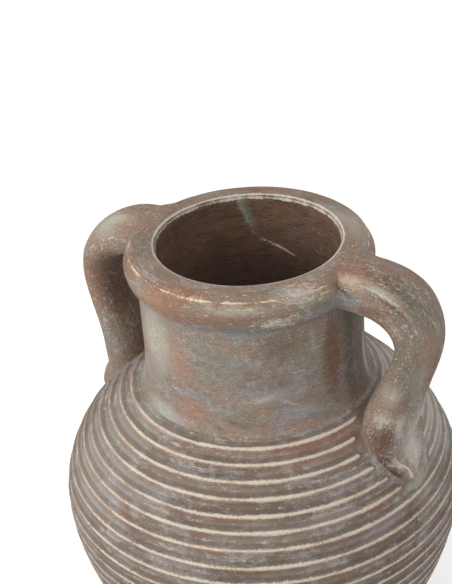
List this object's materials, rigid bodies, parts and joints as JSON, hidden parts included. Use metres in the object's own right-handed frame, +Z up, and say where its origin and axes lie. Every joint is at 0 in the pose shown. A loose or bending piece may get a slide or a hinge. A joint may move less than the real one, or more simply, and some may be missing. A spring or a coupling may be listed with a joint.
{
  "type": "amphora planter",
  "caption": "Two-handled round-bellied clay planter with a thick rolled rim, a straight neck, a ribbed body, a foot ring and a drain hole.",
  "frame": {"origin": "centre of the foot, on the plane the pot stands on", "axes": "+Z up through the mouth, +X through the right handle"},
  "size_m": [0.3636, 0.3636, 0.4525],
  "materials": {
    "bare_terracotta": "matte unglazed fired clay",
    "ribbed_wash": "matte grey limewash over terracotta, rubbed to cream on the ribs",
    "neck_wash": "matte brushed limewash over terracotta",
    "rim_wash": "matte terracotta with the wash rubbed off its edges",
    "handle_wash": "matte brushed limewash over terracotta"
  },
  "bodies": {
    "root": {"foot_ring": "bare_terracotta", "base_slab": "bare_terracotta", "lower_body": "ribbed_wash", "shoulder": "ribbed_wash", "neck": "neck_wash", "rim": "rim_wash", "right_handle": "handle_wash", "left_handle": "handle_wash"}
  },
  "joints": []
}
